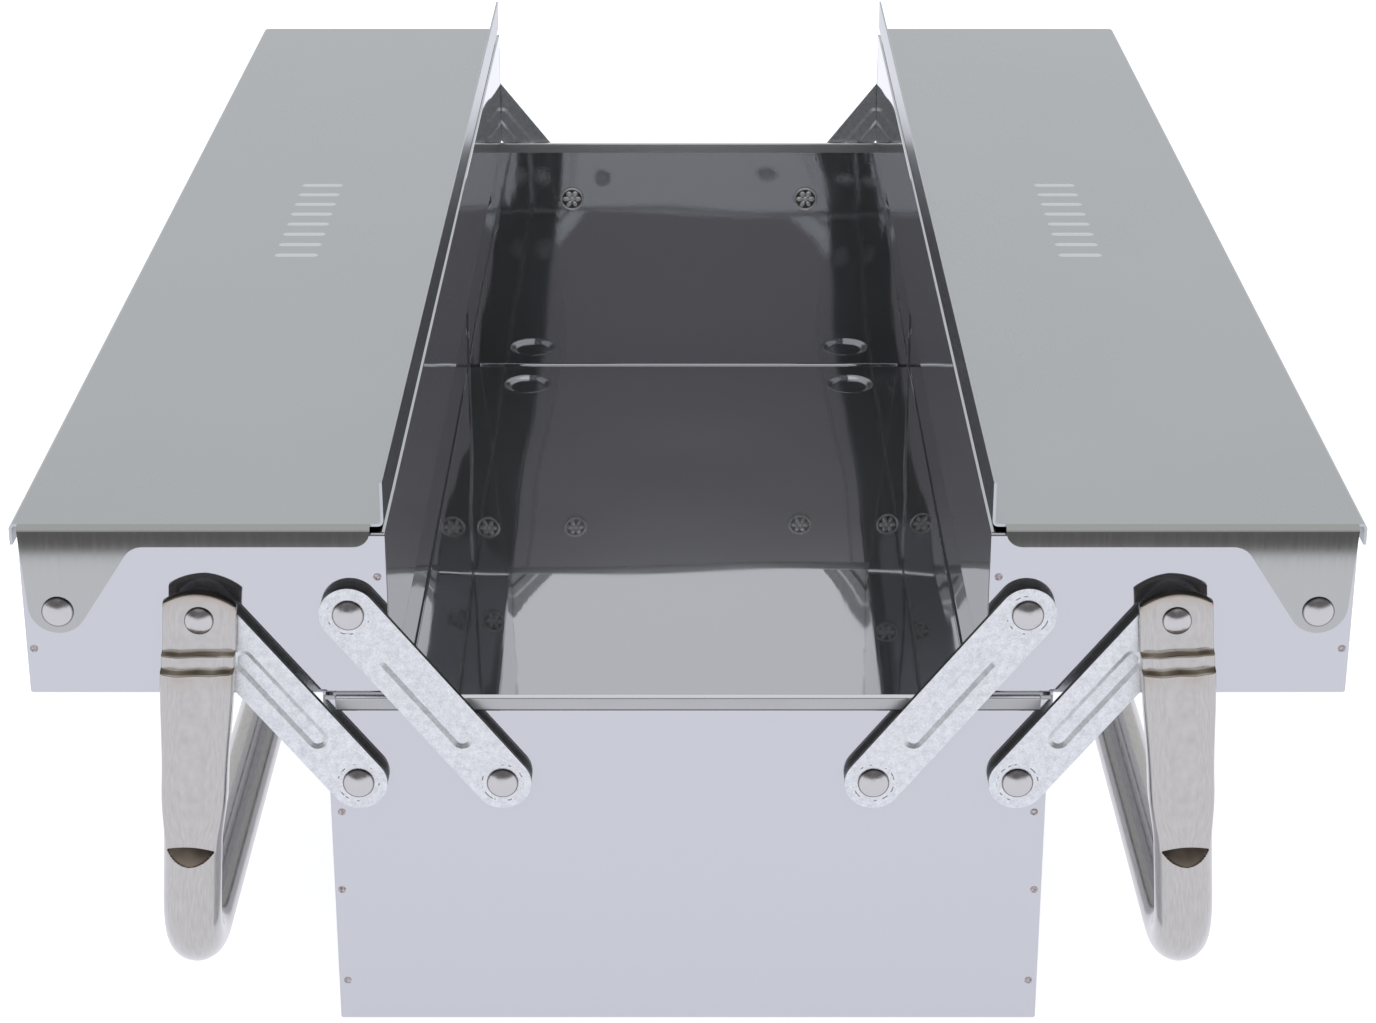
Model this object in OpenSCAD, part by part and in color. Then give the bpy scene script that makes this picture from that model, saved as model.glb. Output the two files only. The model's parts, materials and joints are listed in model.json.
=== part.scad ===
// Cantilever tool box: a folded sheet base with two hinged upper trays,
// each carried by four strap arms, with its own lid and tube handle.
// The box stands open. X runs across it, Y along it, Z up from its feet.

/* [Box] */
// Width of the base across its side walls
base_w = 200; // [170:1:240]
// Length of the base and of both trays
box_l = 500; // [320:5:620]
// Height of the base from its feet to its rim
base_h = 107; // [90:1:140]
// Thickness of the folded sheet
sheet = 0.8; // [0.6:0.1:1]
// Outside radius of the folds
fold_r = 1.6; // [1.3:0.1:2.2]
// Height of the base's outward rim
rim_h = 4.5; // [3:0.5:6]
// Width of a corner tab at its top
tab_w = 17; // [16:0.5:20]
// Width of a base tab at its foot
tab_low_w = 6; // [4:0.5:12]

/* [Feet] */
// Diameter of a foot pressed down out of the floor
foot_d = 21.4; // [16:0.2:26]
// Drop of a foot below the floor
foot_drop = 1.5; // [1:0.1:2.5]
// Slope of a foot's wall, measured flat
foot_slope = 2.4; // [1.5:0.1:4]
// Foot centre in from the side wall
foot_in_x = 28.5; // [20:0.5:40]
// Foot centre in from the end wall
foot_in_y = 23; // [18:0.5:40]

/* [Trays] */
// Set-back of a shut tray's outer wall from the base's side wall
tray_set = 0.5; // [0:0.1:3]
// Height of a tray
tray_h = 49; // [42:0.5:60]
// Gap between the two trays when the box is shut
mid_gap = 0.6; // [0.4:0.1:2]
// Gap under a tray where it rests over the base rim
tray_lift = 0.3; // [0.2:0.1:1]
// Height of a tray's inward hem
hem_h = 6; // [4:0.5:8]
// Width of a tray's corner tab at its foot
tray_tab_w = 17; // [16:0.5:18]

/* [Arms] */
// Distance between the two pins of an arm
arm_c = 66; // [60:0.5:74]
// Lean of the arms from upright when the box is open
arm_lean = 38.2; // [34:0.1:42]
// Width of an arm
arm_w = 16; // [14:0.5:18]
// Thickness of an arm
arm_t = 1.5; // [1.2:0.1:2]
// Inner tray pin in from the tray's inner wall
tray_pin_in = 10.4; // [9:0.1:16]
// Outer base pin in from the side wall
pin_in = 8.5; // [8:0.1:14]
// Base pins below the rim
pin_drop = 25.5; // [20:0.5:32]
// Length of the groove pressed into an arm
groove_l = 37; // [26:0.5:42]
// Width of the groove at the arm's face
groove_w = 6; // [4:0.1:7]
// Depth of the groove
groove_d = 0.6; // [0.3:0.1:0.8]
// Slope of the groove's walls, measured flat
groove_slope = 1.3; // [0.6:0.1:1.6]

/* [Rivets] */
// Diameter of a rivet's shank
rivet_d = 5; // [4:0.1:6]
// Diameter of a rivet's head
head_d = 8.7; // [8:0.1:10]
// Height of a rivet's head
head_h = 1.3; // [1:0.1:1.8]
// Height of the straight side of the head
head_side = 0.35; // [0.2:0.05:0.6]
// Diameter of the closed end inside the box
tail_d = 10.4; // [9:0.1:11]
// Height of the closed end
tail_h = 0.9; // [0.6:0.1:1.4]
// Diameter of a spacer washer
washer_d = 12; // [10:0.5:15]
// Thickness of a spacer washer
washer_t = 1.8; // [1.6:0.1:2.4]

/* [Lids] */
// Gap between a tray's hem and its lid
lid_gap = 1.8; // [1.6:0.1:3]
// Reach of the lid past the tray's outer wall
lid_over = 2.3; // [2:0.1:4]
// Step of the lid's inner edge in from the tray's inner wall
lid_step = 0.2; // [0.1:0.05:3]
// Height of the lid's end skirts and outer flange
skirt_h = 6.2; // [5:0.1:8]
// Height of the flange that stands up along the lid's inner edge
grip_h = 12.2; // [8:0.2:18]
// Lid pin in from the lid's outer edge
lid_pin_in = 11.8; // [11.4:0.1:16]
// Radius of the ear round its pin
ear_r = 8; // [6:0.5:9]
// Rise of the ear's round end above its pin
ear_rise = 1.5; // [0:0.5:3]
// Root of the ear's slanted edge, measured from the pin
ear_root = 21; // [18:0.5:28]
// Fillet between the ear and the skirt
ear_fillet = 6; // [3:0.5:8]
// Set-back of the skirt's outer end from the lid's outer edge
skirt_out = 2.4; // [1.8:0.1:3.4]
// Set-back of the skirt's inner end from the lid's inner edge
skirt_in = 3.7; // [2:0.1:6]

/* [Handles] */
// Diameter of the handle tube
tube_d = 16; // [13:0.5:18]
// Wall of the handle tube
tube_wall = 1.2; // [0.8:0.1:2]
// Drop from the handle's pin to the middle of its bar
handle_drop = 106; // [92:1:116]
// Radius of the tube's bends along its middle
bend_r = 24; // [18:0.5:30]
// Lean of a hanging handle away from the box
handle_lean = 4; // [0:0.5:8]
// Width of the flattened end
flat_w = 20; // [17:0.5:22]
// Thickness of the flattened end, two walls pressed together
flat_t = 3; // [2.4:0.1:4]
// Height of the flattened end above its pin
flat_top = 5.5; // [5:0.5:9]
// Radius of the flattened end's top edge
flat_top_r = 17; // [12:0.5:24]
// Drop of the first crease below the pin
crease_top = 10; // [8:0.5:14]
// Drop of the second crease below the pin
crease_low = 17.3; // [15:0.5:22]
// Thickness of the part-flattened leg
leg_t = 8; // [6:0.5:12]
// Straight round length between the leg and the bend
round_l = 8; // [1:0.5:12]
// Run over which the leg turns round again
leg_run = 6; // [3:0.5:8]

/* [Hidden] */
$fn = 48;

// Running clearance round a pin, gap between pieces that slide past each
// other, gap of the lid's skirts, and overrun of a cut past its faces
pin_gap = 0.08;
side_gap = 0.1;
skirt_gap = 0.3;
over = 1;
// Hole that runs round a rivet
run_d = rivet_d + 2 * pin_gap;
// Steps of a fold's arc, and of a fillet's
fold_steps = 6;
fillet_steps = 10;

// Colours
bright = [0.80, 0.82, 0.86];
satin = [0.68, 0.70, 0.70];
zinc = [0.82, 0.83, 0.85];
tube_grey = [0.72, 0.70, 0.68];

// Swing of the arms, from the base pins to the tray pins
swing_x = arm_c * sin(arm_lean);
swing_z = arm_c * cos(arm_lean);

// Base, with its inner pins where the arms carry the shut trays' inner pins
half_l = box_l / 2;
half_w = base_w / 2;
floor_z = foot_drop;
pin_z = base_h - pin_drop;
out_pin_x = half_w - pin_in;
in_pin_x = mid_gap / 2 + tray_pin_in + swing_x;

// Trays, which shut over the base with the gap between them
tray_w = half_w - tray_set - mid_gap / 2;
tray_x0 = mid_gap / 2 + 2 * swing_x;
tray_x1 = tray_x0 + tray_w;
tray_z0 = base_h + tray_lift;
tray_z1 = tray_z0 + tray_h;
tray_out_x = out_pin_x + swing_x;
tray_in_x = in_pin_x + swing_x;
tray_pin_z = pin_z + swing_z;

// Stack on an end wall, measured outwards from the wall's outer face
arm_y = washer_t + side_gap;
on_arm_y = arm_y + arm_t + side_gap;
on_flat_y = on_arm_y + flat_t + side_gap;
on_ear_y = skirt_gap + sheet + side_gap;

// Lids
lid_z1 = tray_z1 + lid_gap + sheet;
lid_x0 = tray_x0 + lid_step;
lid_x1 = tray_x1 + lid_over;
lid_half_l = half_l + skirt_gap + sheet;
lid_pin_x = lid_x1 - lid_pin_in;

// Handles
tube_back = on_arm_y + 2 * side_gap;
leg_y = half_l + tube_back + tube_d / 2;
bar_y = leg_y - bend_r;
leg_low = handle_drop - bend_r - round_l - leg_run;
leg_faces = 32;
// Fullness of the leg's sections, from a round one to a flat one
round_share = 2;
turn_share = 3;
full_share = 5;
flat_share = 8;

// Points along an arc
function arc(c, r, a0, a1, n) =
    [for (i = [0 : n]) c + r * [cos(a0 + (a1 - a0) * i / n), sin(a0 + (a1 - a0) * i / n)]];

// Point where a line from p touches a circle, on the side that way says
function touch(p, c, r, way) =
    let (v = p - c, a = atan2(v.y, v.x) + way * acos(r / norm(v)))
    c + r * [cos(a), sin(a)];

// Web that fills the inner corner q between the directions u and v with a fillet
function web(q, u, v, r) =
    let (half = acos(u * v) / 2, mid = (u + v) / norm(u + v),
         c = q + mid * r / sin(half),
         p0 = q + u * r / tan(half), p1 = q + v * r / tan(half),
         a0 = atan2(p0.y - c.y, p0.x - c.x), a1 = atan2(p1.y - c.y, p1.x - c.x),
         turn = a1 - a0 > 180 ? a1 - 360 : a1 - a0 < -180 ? a1 + 360 : a1)
    concat([q], arc(c, r, a0, turn, fillet_steps));

// Outline of a sheet folded up on both sides, seen along the folds
module trough_outline(w, h) {
    r = fold_r;
    in_r = fold_r - sheet;
    polygon(concat(
        [[-w / 2, h]], arc([r - w / 2, r], r, 180, 270, fold_steps),
        arc([w / 2 - r, r], r, 270, 360, fold_steps),
        [[w / 2, h], [w / 2 - sheet, h]],
        arc([w / 2 - r, r], in_r, 360, 270, fold_steps),
        arc([r - w / 2, r], in_r, 270, 180, fold_steps),
        [[sheet - w / 2, h]]));
}

// The same outline filled in, for cutting a sheet to the folds' outside
module cup_outline(w, h) {
    r = fold_r;
    polygon(concat([[-w / 2, h]], arc([r - w / 2, r], r, 180, 270, fold_steps),
        arc([w / 2 - r, r], r, 270, 360, fold_steps), [[w / 2, h]]));
}

// Outline of a rectangle with round corners
module round_rect(w, l, r) {
    square([w, l - 2 * r], center = true);
    square([w - 2 * r, l], center = true);
    for (x = [-1, 1], y = [-1, 1])
        translate([x * (w / 2 - r), y * (l / 2 - r)]) circle(r);
}

// Outline of a closed hem at the origin's outer face; way 1 turns it
// outwards and -1 inwards
module hem_outline(h, way) {
    mid = way > 0 ? 0 : -sheet;
    polygon(concat(
        [[mid + sheet, -h + sheet / 2]],
        arc([mid, -sheet], sheet, 0, 180, fold_steps),
        [[mid - sheet, -h + sheet / 2], [mid - sheet / 2, -h], [mid + sheet / 2, -h]]));
}

// Copies that mirror each other across the plane square to v
module both(v) {
    children();
    mirror(v) children();
}

// Hem along the top of an end wall whose outer face is at y and top at z
module hem(len, y, z, h, way)
    translate([0, y, z]) rotate([90, 0, 90])
        linear_extrude(len, center = true) hem_outline(h, way);

// Floor and end walls of a folded pan, with the hems along the end walls
module pan_sheet(w, l, h, top_h, way) {
    intersection() {
        rotate([90, 0, 90]) linear_extrude(w, center = true) trough_outline(l, h - sheet);
        rotate([90, 0, 0]) linear_extrude(l + 2 * over, center = true) cup_outline(w, h);
    }
    both([0, 1, 0]) hem(w, l / 2, h, top_h, way);
}

// Side walls of the same pan, folded up from its floor, with hems and with
// tabs that turn in behind the end walls, low_w wide at their foot
module pan_sides(w, l, h, low_w, top_h, way) {
    wall_h = h - sheet;
    side_l = l - 2 * sheet;
    difference() {
        union() {
            intersection() {
                rotate([90, 0, 0]) linear_extrude(side_l, center = true)
                    trough_outline(w, wall_h);
                translate([0, 0, sheet]) linear_extrude(h) round_rect(w, side_l, fold_r);
            }
            both([1, 0, 0]) translate([w / 2, 0, fold_r]) intersection() {
                rotate([0, 0, 90]) linear_extrude(wall_h - fold_r)
                    trough_outline(side_l, tab_w);
                rotate([90, 0, 0]) linear_extrude(l, center = true)
                    polygon([[over, 0], [-low_w, 0], [-tab_w, wall_h], [over, wall_h]]);
            }
            both([1, 0, 0]) rotate([0, 0, -90]) hem(side_l, w / 2, h, top_h, way);
        }
        pan_sheet(w, l, h, top_h, way);
    }
}

// Hole along Y through a piece t thick whose outer face is at y
module pin_hole(x, y, z, t, d)
    translate([x, y + over, z]) rotate([90, 0, 0]) cylinder(h = t + 2 * over, d = d);

// Foot pressed down out of the floor, a shallow cup of the same sheet
module foot() {
    r = foot_d / 2;
    low_r = r - foot_slope;
    rotate_extrude() polygon([[0, 0], [low_r, 0], [r, floor_z], [r, floor_z + sheet],
        [r - sheet / 2, floor_z + sheet], [low_r - sheet / 2, sheet], [0, sheet]]);
}

// Holes through the end walls and the tabs behind them
module base_holes() both([1, 0, 0]) both([0, 1, 0])
    for (x = [in_pin_x, out_pin_x]) pin_hole(x, half_l, pin_z, 2 * sheet, rivet_d);
module tray_holes() both([0, 1, 0]) for (x = [tray_in_x, tray_out_x, lid_pin_x])
    pin_hole(x, half_l, tray_pin_z, 2 * sheet, rivet_d);

module base_pan() color(bright) {
    foot_x = half_w - foot_in_x;
    foot_y = half_l - foot_in_y;
    difference() {
        translate([0, 0, floor_z]) pan_sheet(base_w, box_l, base_h - floor_z, rim_h, 1);
        base_holes();
        both([1, 0, 0]) both([0, 1, 0]) translate([foot_x, foot_y, 0])
            cylinder(h = floor_z + sheet + over, d = foot_d);
    }
    both([1, 0, 0]) both([0, 1, 0]) translate([foot_x, foot_y, 0]) foot();
}

module base_sides() color(bright) difference() {
    translate([0, 0, floor_z])
        pan_sides(base_w, box_l, base_h - floor_z, tab_low_w, rim_h, 1);
    base_holes();
}

// Rivet through an end wall whose outer face is at y = 0, pointing along +Y:
// its head stands at head_y, its closed end sits behind the wall's layers
module rivet(head_y, layers) {
    wall = layers * sheet;
    rise = head_h - head_side;
    dome_r = (pow(head_d / 2, 2) + pow(rise, 2)) / 2 / rise;
    rotate([-90, 0, 0]) {
        translate([0, 0, -wall]) cylinder(h = head_y + wall + head_side, d = rivet_d);
        translate([0, 0, -wall - tail_h]) cylinder(h = tail_h, d = tail_d);
        translate([0, 0, head_y]) intersection() {
            cylinder(h = head_h, d = head_d);
            translate([0, 0, head_h - dome_r]) sphere(dome_r);
        }
    }
}

// Rivet in the rear end wall; the near-corner ones go through the tab too
module wall_rivet(x, z, head_y, layers) color(bright)
    translate([x, half_l, z]) rivet(head_y, layers);

// Spacer washer on the rear end wall
module washer(x, z) color(zinc) translate([x, half_l, z]) rotate([-90, 0, 0])
    difference() {
        cylinder(h = washer_t, d = washer_d);
        translate([0, 0, -over]) cylinder(h = washer_t + 2 * over, d = rivet_d);
    }

// The four rivets and washers of one end of the base
module base_rivets() both([1, 0, 0]) {
    wall_rivet(in_pin_x, pin_z, on_arm_y, 1);
    wall_rivet(out_pin_x, pin_z, on_arm_y, 2);
}
module base_washers() both([1, 0, 0]) for (x = [in_pin_x, out_pin_x]) washer(x, pin_z);

module tray_pan() color(bright) difference() {
    translate([(tray_x0 + tray_x1) / 2, 0, tray_z0])
        pan_sheet(tray_w, box_l, tray_h, hem_h, -1);
    tray_holes();
}

module tray_sides() color(bright) difference() {
    translate([(tray_x0 + tray_x1) / 2, 0, tray_z0])
        pan_sides(tray_w, box_l, tray_h, tray_tab_w, hem_h, -1);
    tray_holes();
}

module tray_rivets() both([0, 1, 0]) wall_rivet(tray_in_x, tray_pin_z, on_arm_y, 2);
module handle_rivets() both([0, 1, 0]) wall_rivet(tray_out_x, tray_pin_z, on_flat_y, 1);
module lid_rivets() both([0, 1, 0]) wall_rivet(lid_pin_x, tray_pin_z, on_ear_y, 2);
module tray_washers() both([0, 1, 0])
    for (x = [tray_in_x, tray_out_x]) washer(x, tray_pin_z);

// Outline of the lid across its width: outer flange, top and inner grip flange
module lid_outline() {
    in_r = fold_r - sheet;
    out_c = [lid_x1 - fold_r, lid_z1 - fold_r];
    in_c = [lid_x0 + fold_r, lid_z1 - sheet + fold_r];
    low = lid_z1 - skirt_h;
    high = lid_z1 + grip_h - sheet / 2;
    polygon(concat([[lid_x1, low]], arc(out_c, fold_r, 0, 90, fold_steps),
        arc(in_c, in_r, 270, 180, fold_steps),
        arc([lid_x0 + sheet / 2, high], sheet / 2, 0, 180, fold_steps),
        arc(in_c, fold_r, 180, 270, fold_steps),
        arc(out_c, in_r, 90, 0, fold_steps), [[lid_x1 - sheet, low]]));
}

// Outline of the lid's end skirt with its ear
module skirt_outline() {
    top = lid_z1 - fold_r;
    low = lid_z1 - skirt_h;
    x0 = lid_x0 + skirt_in;
    x1 = lid_x1 - skirt_out;
    end_r = top - low;
    ear = [lid_pin_x, tray_pin_z + ear_rise];
    root = [lid_pin_x - ear_root, low];
    out_touch = touch([x1, top], ear, ear_r, -1);
    in_touch = touch(root, ear, ear_r, 1);
    down = (in_touch - root) / norm(in_touch - root);
    polygon(concat([[x1, top], out_touch, ear, in_touch, root],
        arc([x0 + end_r, top], end_r, 270, 180, fold_steps)));
    polygon(web(root, [-1, 0], down, ear_fillet));
    translate(ear) circle(ear_r);
}

// End of the lid: the fold along its edge and the skirt below it
module lid_end() {
    in_r = fold_r - sheet;
    c = [lid_half_l - fold_r, lid_z1 - fold_r];
    x0 = lid_x0 + skirt_in;
    translate([x0, 0, 0]) rotate([90, 0, 90]) linear_extrude(lid_x1 - skirt_out - x0)
        polygon(concat(arc(c, fold_r, 0, 90, fold_steps), arc(c, in_r, 90, 0, fold_steps)));
    difference() {
        translate([0, lid_half_l, 0]) rotate([90, 0, 0]) linear_extrude(sheet)
            skirt_outline();
        pin_hole(lid_pin_x, lid_half_l, tray_pin_z, sheet, run_d);
    }
}

module lid() color(satin) rotate([90, 0, 0])
    linear_extrude(2 * (lid_half_l - fold_r), center = true) lid_outline();
module lid_ends() color(satin) both([0, 1, 0]) lid_end();

// Solid of a groove that a press makes: round ends and sloping walls
module pressed_groove(l, w, d, slope) {
    r0 = w / 2;
    r1 = w / 2 - slope;
    for (z = [-1, 1]) translate([0, 0, z * (l / 2 - r0)]) rotate([-90, 0, 0])
        cylinder(h = d, r1 = r0, r2 = r1);
    linear_extrude(l - w, center = true) polygon([[-r0, 0], [r0, 0], [r1, d], [-r1, d]]);
}

// Strap arm, its lower pin at the origin and its inner face at y = 0
module strap() {
    mid = arm_c / 2;
    difference() {
        union() {
            translate([0, arm_t, 0]) rotate([90, 0, 0]) linear_extrude(arm_t) {
                translate([-arm_w / 2, 0]) square([arm_w, arm_c]);
                circle(d = arm_w);
                translate([0, arm_c]) circle(d = arm_w);
            }
            translate([0, 0, mid]) mirror([0, 1, 0])
                pressed_groove(groove_l, groove_w, groove_d, groove_slope);
        }
        translate([0, arm_t, mid]) mirror([0, 1, 0])
            pressed_groove(groove_l, groove_w, groove_d, groove_slope);
        for (z = [0, arm_c]) translate([0, 0, z]) pin_hole(0, arm_t, 0, arm_t, run_d);
    }
}

// Arm on the far end wall with its lower pin at x
module arm(x) color(zinc)
    translate([x, half_l + arm_y, pin_z]) rotate([0, arm_lean, 0]) strap();

// Ring of the flattened leg: fullness n, width w, thickness t, its back at y
function leg_ring(z, w, t, y, n) =
    [for (i = [0 : leg_faces - 1])
        let (a = 360 * i / leg_faces, c = cos(a), s = sin(a))
        [w / 2 * sign(c) * pow(abs(c), 2 / n),
            y + t / 2 * (1 + sign(s) * pow(abs(s), 2 / n)), z]];

// Solid through a stack of rings with equal counts, from the top one down
module loft(rings) {
    n = len(rings[0]);
    m = len(rings);
    polyhedron(
        points = [for (r = rings) each r],
        faces = concat(
            [[for (i = [n - 1 : -1 : 0]) i]],
            [for (k = [0 : m - 2], i = [0 : n - 1])
                let (a = k * n + i, b = k * n + (i + 1) % n)
                each [[a, b, a + n], [b, b + n, a + n]]],
            [[for (i = [0 : n - 1]) (m - 1) * n + i]]));
}

// Leg of the handle in its own frame: pin at the origin, the flattened
// end's inner face at y = 0, hanging towards -Z
module handle_leg() {
    back = tube_back - on_arm_y;
    difference() {
        translate([0, flat_t, 0]) rotate([90, 0, 0]) linear_extrude(flat_t) intersection() {
            translate([-flat_w / 2, -crease_top]) square([flat_w, crease_top + flat_top]);
            translate([0, flat_top - flat_top_r]) circle(flat_top_r);
        }
        pin_hole(0, flat_t, 0, flat_t, run_d);
    }
    mid_w = (flat_w + tube_d) / 2;
    loft([leg_ring(-crease_top, flat_w, flat_t, 0, flat_share),
        leg_ring(-(crease_top + crease_low) / 2, flat_w, (flat_t + leg_t) / 2, back / 2,
            flat_share),
        leg_ring(-crease_low, flat_w, leg_t, back, full_share),
        leg_ring(-(crease_low + leg_low) / 2, mid_w, leg_t, back, full_share),
        leg_ring(-leg_low, mid_w, leg_t, back, full_share),
        leg_ring(-leg_low - leg_run / 2, (mid_w + tube_d) / 2, (leg_t + tube_d) / 2, back,
            turn_share),
        leg_ring(-leg_low - leg_run, tube_d, tube_d, back, round_share)]);
}

// Bar and bends of the handle tube, of the diameter d
module tube_run(d) {
    rotate([90, 0, 0]) cylinder(h = 2 * bar_y, d = d, center = true);
    both([0, 1, 0]) translate([0, bar_y, bend_r]) rotate([0, 90, 0])
        rotate_extrude(angle = 90) translate([bend_r, 0]) circle(d = d);
}

// What hangs from the handle's pins
module hung() color(tube_grey)
    translate([tray_out_x, 0, tray_pin_z]) rotate([0, -handle_lean, 0]) children();

module handle_legs() hung() both([0, 1, 0])
    translate([0, half_l + on_arm_y, 0]) handle_leg();

module handle() hung() translate([0, 0, -handle_drop]) {
    difference() {
        tube_run(tube_d);
        tube_run(tube_d - 2 * tube_wall);
    }
    both([0, 1, 0]) translate([0, leg_y, bend_r]) cylinder(h = round_l, d = tube_d);
}

// Front pieces mirror the rear ones, and left pieces the right ones
module front() mirror([0, 1, 0]) children();
module left() mirror([1, 0, 0]) children();

base_pan();
base_sides();
front() base_rivets();  // base_rivets_front
base_rivets();  // base_rivets_rear
front() base_washers();  // base_washers_front
base_washers();  // base_washers_rear
tray_pan();  // right_tray_pan
tray_sides();  // right_tray_sides
tray_rivets();  // right_tray_rivets
tray_washers();  // right_tray_washers
handle_rivets();  // right_handle_rivets
lid_rivets();  // right_lid_rivets
lid();  // right_lid
lid_ends();  // right_lid_ends
handle();  // right_handle
handle_legs();  // right_handle_legs
front() arm(out_pin_x);  // right_outer_arm_front
arm(out_pin_x);  // right_outer_arm_rear
front() arm(in_pin_x);  // right_inner_arm_front
arm(in_pin_x);  // right_inner_arm_rear
left() tray_pan();  // left_tray_pan
left() tray_sides();  // left_tray_sides
left() tray_rivets();  // left_tray_rivets
left() tray_washers();  // left_tray_washers
left() handle_rivets();  // left_handle_rivets
left() lid_rivets();  // left_lid_rivets
left() lid();  // left_lid
left() lid_ends();  // left_lid_ends
left() handle();  // left_handle
left() handle_legs();  // left_handle_legs
left() front() arm(out_pin_x);  // left_outer_arm_front
left() arm(out_pin_x);  // left_outer_arm_rear
left() front() arm(in_pin_x);  // left_inner_arm_front
left() arm(in_pin_x);  // left_inner_arm_rear
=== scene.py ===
import json
import math

import bmesh
import bpy
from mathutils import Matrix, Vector


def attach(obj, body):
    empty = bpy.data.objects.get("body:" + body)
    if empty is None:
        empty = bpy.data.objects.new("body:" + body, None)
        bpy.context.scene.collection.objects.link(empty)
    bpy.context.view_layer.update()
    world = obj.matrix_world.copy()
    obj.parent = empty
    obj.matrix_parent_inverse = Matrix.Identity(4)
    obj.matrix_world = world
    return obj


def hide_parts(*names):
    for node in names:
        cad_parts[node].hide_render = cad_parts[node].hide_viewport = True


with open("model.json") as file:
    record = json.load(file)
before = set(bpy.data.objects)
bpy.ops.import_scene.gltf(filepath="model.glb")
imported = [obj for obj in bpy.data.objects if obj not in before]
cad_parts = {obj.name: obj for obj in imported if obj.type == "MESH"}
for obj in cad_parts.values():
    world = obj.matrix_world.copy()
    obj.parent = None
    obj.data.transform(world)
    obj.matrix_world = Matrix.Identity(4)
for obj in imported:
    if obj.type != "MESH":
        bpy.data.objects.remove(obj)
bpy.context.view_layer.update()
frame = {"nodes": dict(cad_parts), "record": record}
mm = 0.001
nodes = frame["nodes"]
sides = (("right", 1), ("left", -1))

# The box in mm: its end walls, its sheet, and the right side's pins as x, z, layers of sheet.
# A tray's pins are the inner arm's, the one that outer arm and handle share, and the lid's
box = dict(
    wallY=250.0, sheet=0.8,
    basePins=((51.515, 81.5, 1), (91.5, 81.5, 2)),
    trayPins=((92.33, 133.367, 2), (132.315, 133.367, 1), (171.63, 133.367, 2)),
)


def addObject(name, data):
    obj = bpy.data.objects.new(name, data)
    bpy.context.collection.objects.link(obj)
    return obj


# Camera
view = dict(
    place=(0.000485, -0.95431, 0.49191),
    pitch=69.637,        # degrees up from looking straight down
    lens=75.337,
    shift=(-0.00129, -0.17136),
    sensor=36,
    nearest=0.01,
)
camera = addObject("photoCamera", bpy.data.cameras.new("photoCamera"))
camera.location = view["place"]
camera.rotation_euler = (math.radians(view["pitch"]), 0, 0)
camera.data.lens = view["lens"]
camera.data.sensor_width = view["sensor"]
camera.data.sensor_fit = "HORIZONTAL"
camera.data.shift_x, camera.data.shift_y = view["shift"]
camera.data.clip_start = view["nearest"]
bpy.context.scene.camera = camera
bpy.context.scene.view_settings.view_transform = "Standard"
print("camera placed")


# Studio: pale floor, soft lamps, a pale room with the dark studio behind the camera
studio = dict(
    roomColor=(0.74, 0.755, 0.775),
    darkColor=(0.165, 0.156, 0.166),
    # The dark studio's edges, none of it and all of it: towards -Y, above the floor and
    # under the lit ceiling, as parts of the direction
    darkEdges=(("Y", 0.15, -0.35), ("Z", 0.0, 0.06), ("Z", 0.62, 0.385)),
    diffuseLevel=0.95,
    floorColor=(0.62, 0.63, 0.66),
    floorLift=0.80,
    floorMirrored=(0.945, 0.95, 1.04),   # the floor as bright metal shows it
    floorShade=0.22,             # how much of its shadow that keeps
    floorSize=9.0,
    lampAim=(0, 0, 0.1),
    lamps=(
        # name, place, size, watts, colour
        ("topLamp", (0.1, 0.35, 1.9), 1.5, 5.0, (1.0, 0.99, 0.98)),
        ("leftLamp", (-1.7, -0.5, 1.0), 0.9, 2.0, (0.97, 0.98, 1.0)),
        ("rightLamp", (1.7, -0.2, 1.1), 0.9, 2.0, (1.0, 0.99, 0.97)),
    ),
)


def feed(tree, socket, value):
    # Links a socket to another, or sets its value
    if isinstance(value, bpy.types.NodeSocket):
        tree.links.new(value, socket)
    else:
        socket.default_value = value


def setUp(tree, node, **values):
    # The values are the node's own settings, or go to its inputs, with _ for each space
    for key, value in values.items():
        if hasattr(node, key):
            setattr(node, key, value)
        else:
            feed(tree, node.inputs[key.replace("_", " ")], value)
    return node


def addNode(tree, kind, **values):
    return setUp(tree, tree.nodes.new(kind), **values)


def fed(tree, kind, *values, **settings):
    # The first output of a new node whose inputs take the values in order
    node = addNode(tree, kind, **settings)
    for socket, value in zip(node.inputs, values):
        feed(tree, socket, value)
    return node.outputs[0]


def maths(tree, kind, *values):
    return fed(tree, "ShaderNodeMath", *values, operation=kind)


def axesOf(tree, vector):
    return addNode(tree, "ShaderNodeSeparateXYZ", Vector=vector).outputs


def vectorOf(tree, **axes):
    return addNode(tree, "ShaderNodeCombineXYZ", **axes).outputs[0]


def mixColor(tree, factor, a, b):
    # A colour mix by a socket; a and b are sockets or colours
    node = addNode(tree, "ShaderNodeMix", data_type="RGBA", Factor=factor)
    for socket, value in ((node.inputs[6], a), (node.inputs[7], b)):
        feed(tree, socket, value if isinstance(value, bpy.types.NodeSocket) else (*value, 1))
    return node.outputs[2]


def polishedRays(tree, rays):
    # 1 for the rays that a polished or a clear surface sends on
    kinds = (rays.outputs[f"Is {kind} Ray"] for kind in ("Glossy", "Transmission"))
    return maths(tree, "MAXIMUM", *kinds)


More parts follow.
